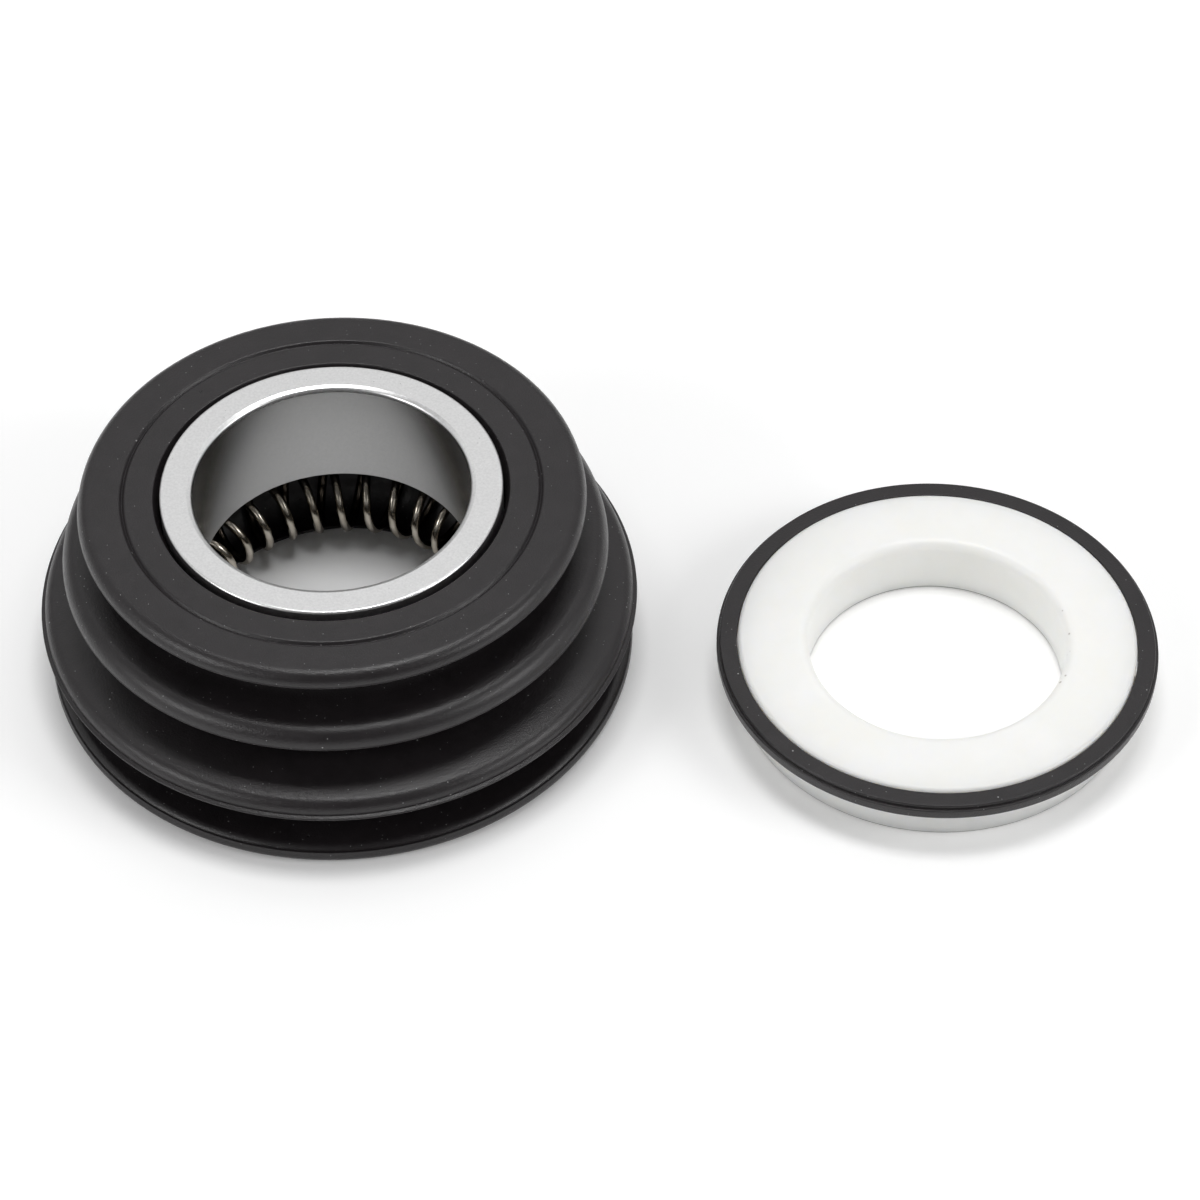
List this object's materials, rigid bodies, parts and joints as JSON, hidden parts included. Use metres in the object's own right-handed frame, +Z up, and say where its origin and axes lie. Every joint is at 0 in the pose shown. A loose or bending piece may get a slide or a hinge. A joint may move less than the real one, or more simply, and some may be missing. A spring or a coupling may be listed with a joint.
{
  "type": "component mechanical seal",
  "caption": "Component shaft seal: a rubber bellows head with a toroidal coil spring and a lapped metal face ring, beside its white ceramic seat ring in a rubber gasket.",
  "frame": {"origin": "on the shaft's axis through the rotary head, in the plane that head and seat both stand on", "axes": "+Z up the shaft's axis, from the head's base to its lapped face; +X from the head's axis to the seat's axis; +Y completes a right-handed frame"},
  "size_m": [0.1329, 0.071, 0.0267],
  "materials": {
    "face_metal": "finely lapped face, satin grey bore",
    "bellows_rubber": "moulded, semi-matt",
    "spring_steel": "bright drawn wire",
    "seat_ceramic": "white, fine ground",
    "gasket_rubber": "moulded, semi-matt"
  },
  "bodies": {
    "base": {"bellows": "bellows_rubber", "toroidal_spring": "spring_steel", "seat_ring": "seat_ceramic", "seat_gasket": "gasket_rubber"},
    "face": {"face_ring": "face_metal"}
  },
  "joints": [
    {"name": "face_travel", "type": "slide", "parent": "base", "child": "face", "axis": [0, 0, -1], "range_m": [0, 0.003], "stiffness_N_per_m": 6000, "deforming": ["bellows", "toroidal_spring"]}
  ]
}
